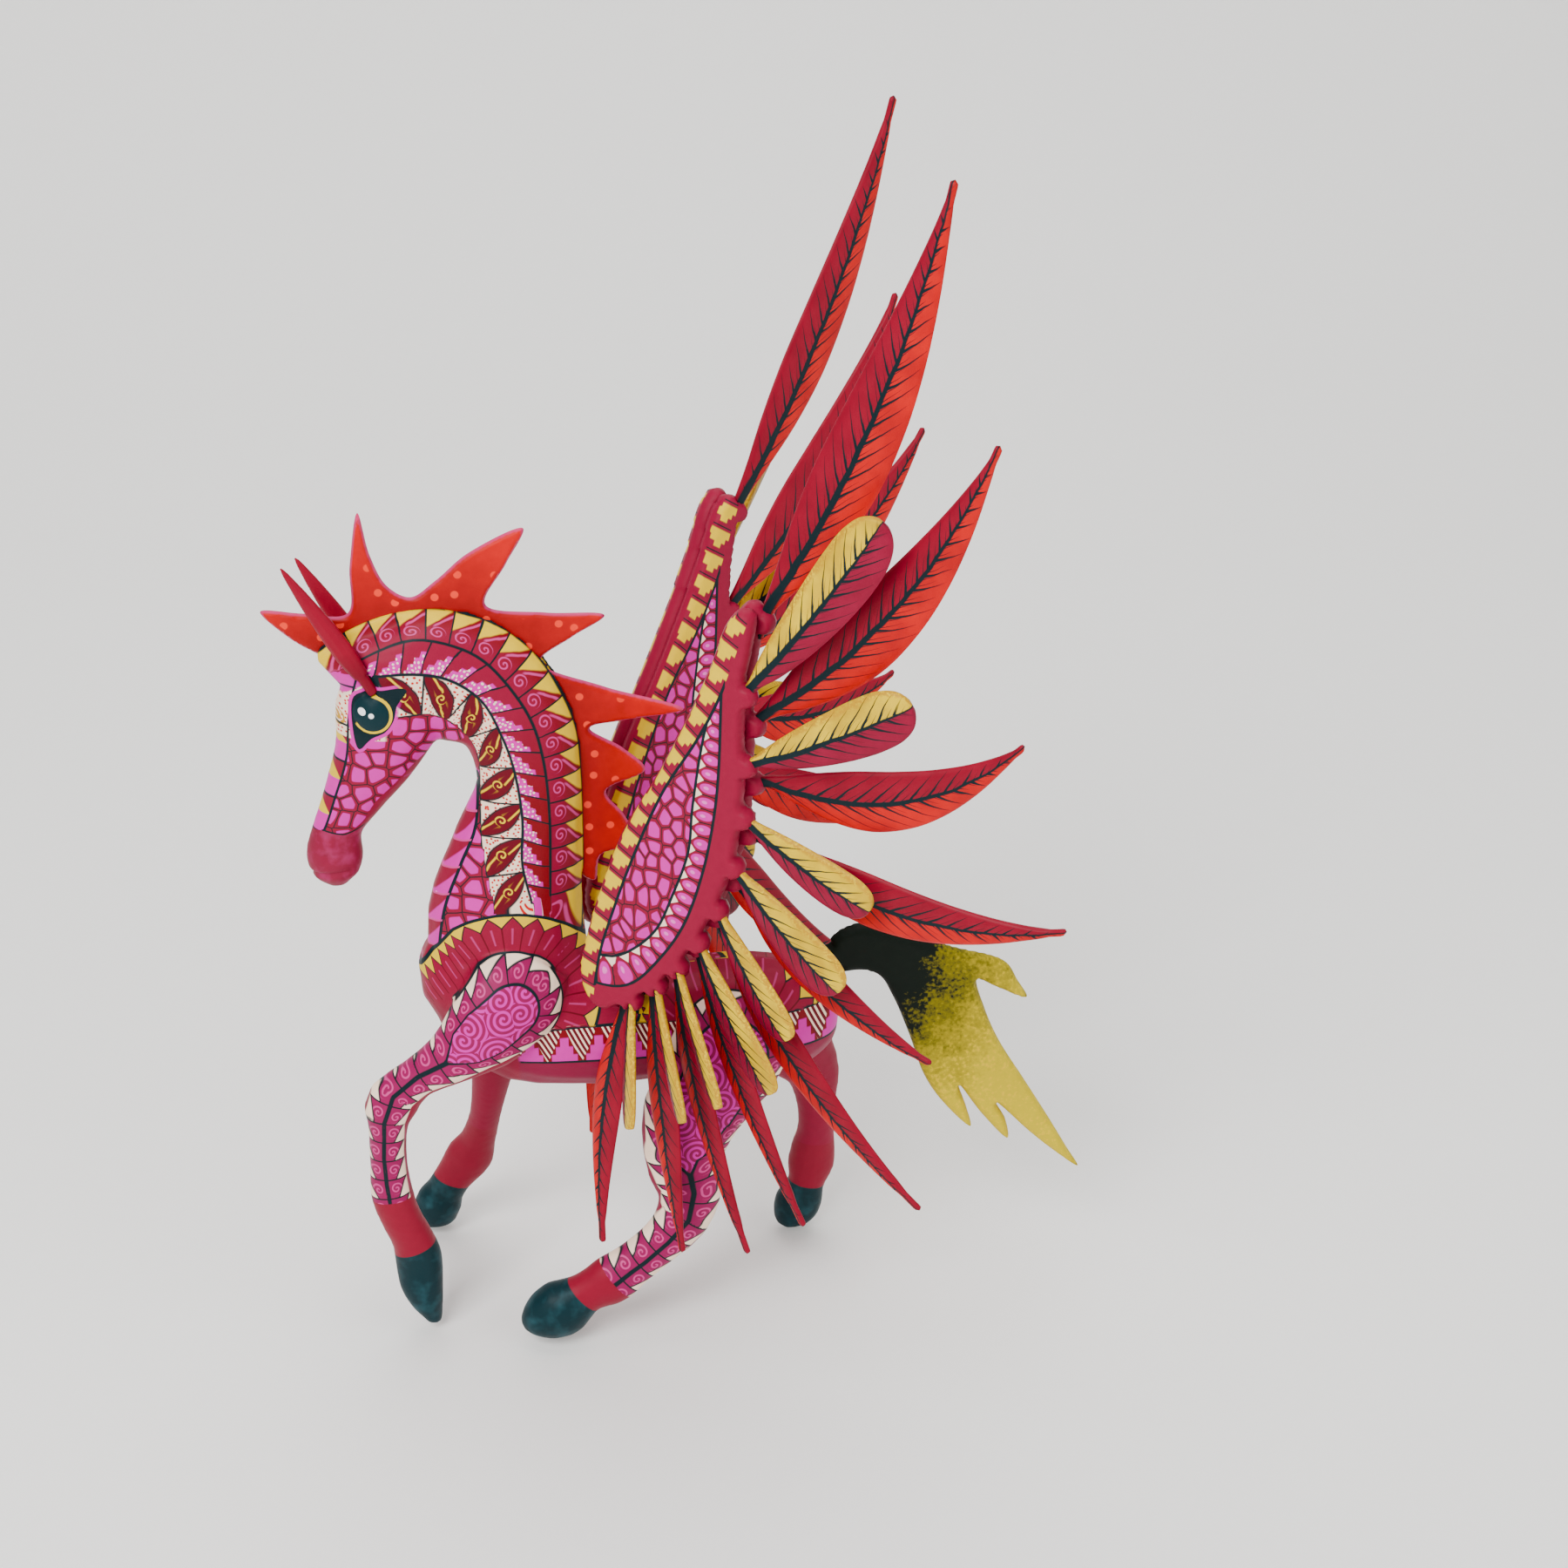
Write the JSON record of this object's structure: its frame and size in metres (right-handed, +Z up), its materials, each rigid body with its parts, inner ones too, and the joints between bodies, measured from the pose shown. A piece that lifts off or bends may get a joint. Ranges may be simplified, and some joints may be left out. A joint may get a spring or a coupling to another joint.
{
  "type": "carved animal figurine",
  "caption": "Painted carved-wood winged horse in mid-gallop, with a spiked mane, a forked tail and two fans of separate wooden feathers.",
  "frame": {"origin": "on the ground plane, below the centre of the figure's bounding box", "axes": "+Z up, the horse faces -X, its own left side is towards -Y"},
  "size_m": [0.231, 0.1601, 0.3485],
  "materials": {
    "painted_body": "hand-painted satin acrylic on copal wood",
    "painted_wing": "hand-painted satin acrylic on copal wood",
    "mane_paint": "hand-painted satin acrylic on copal wood",
    "tail_paint": "sponged satin acrylic on copal wood",
    "ear_paint": "hand-painted satin acrylic on copal wood",
    "long_feather_paint": "hand-painted satin acrylic on copal wood",
    "round_feather_paint": "hand-painted satin acrylic on copal wood",
    "bare_wood": "unpainted copal wood"
  },
  "bodies": {
    "carving": {"body": "painted_body", "left_foreleg": "painted_body", "right_foreleg": "painted_body", "left_hind_leg": "painted_body", "right_hind_leg": "painted_body", "left_foreleg_peg": "bare_wood", "right_foreleg_peg": "bare_wood", "left_hind_leg_peg": "bare_wood", "right_hind_leg_peg": "bare_wood", "mane": "mane_paint"},
    "left_wing": {"left_wing_board": "painted_wing", "left_long_feather_01": "long_feather_paint", "left_long_feather_02": "long_feather_paint", "left_long_feather_03": "long_feather_paint", "left_long_feather_04": "long_feather_paint", "left_long_feather_05": "long_feather_paint", "left_long_feather_06": "long_feather_paint", "left_long_feather_07": "long_feather_paint", "left_long_feather_08": "long_feather_paint", "left_long_feather_09": "long_feather_paint", "left_long_feather_10": "long_feather_paint", "left_round_feather_01": "round_feather_paint", "left_round_feather_02": "round_feather_paint", "left_round_feather_03": "round_feather_paint", "left_round_feather_04": "round_feather_paint", "left_round_feather_05": "round_feather_paint", "left_round_feather_06": "round_feather_paint", "left_round_feather_07": "round_feather_paint", "left_round_feather_08": "round_feather_paint", "left_round_feather_09": "round_feather_paint"},
    "right_wing": {"right_wing_board": "painted_wing", "right_long_feather_01": "long_feather_paint", "right_long_feather_02": "long_feather_paint", "right_long_feather_03": "long_feather_paint", "right_long_feather_04": "long_feather_paint", "right_long_feather_05": "long_feather_paint", "right_long_feather_06": "long_feather_paint", "right_long_feather_07": "long_feather_paint", "right_long_feather_08": "long_feather_paint", "right_long_feather_09": "long_feather_paint", "right_long_feather_10": "long_feather_paint", "right_round_feather_01": "round_feather_paint", "right_round_feather_02": "round_feather_paint", "right_round_feather_03": "round_feather_paint", "right_round_feather_04": "round_feather_paint", "right_round_feather_05": "round_feather_paint", "right_round_feather_06": "round_feather_paint", "right_round_feather_07": "round_feather_paint", "right_round_feather_08": "round_feather_paint", "right_round_feather_09": "round_feather_paint"},
    "tail": {"tail": "tail_paint"},
    "left_ear": {"left_ear": "ear_paint"},
    "right_ear": {"right_ear": "ear_paint"}
  },
  "joints": [
    {"name": "left_wing_pull", "type": "slide", "parent": "carving", "child": "left_wing", "axis": [-0.3141, -0.5908, 0.7431], "range_m": [0, 0.012]},
    {"name": "right_wing_pull", "type": "slide", "parent": "carving", "child": "right_wing", "axis": [-0.3141, 0.5908, 0.7431], "range_m": [0, 0.012]},
    {"name": "tail_pull", "type": "slide", "parent": "carving", "child": "tail", "axis": [0.9004, 0, 0.435], "range_m": [0, 0.012]},
    {"name": "left_ear_pull", "type": "slide", "parent": "carving", "child": "left_ear", "axis": [-0.5039, -0.04, 0.8628], "range_m": [0, 0.006]},
    {"name": "right_ear_pull", "type": "slide", "parent": "carving", "child": "right_ear", "axis": [-0.5069, 0.046, 0.8608], "range_m": [0, 0.006]}
  ]
}
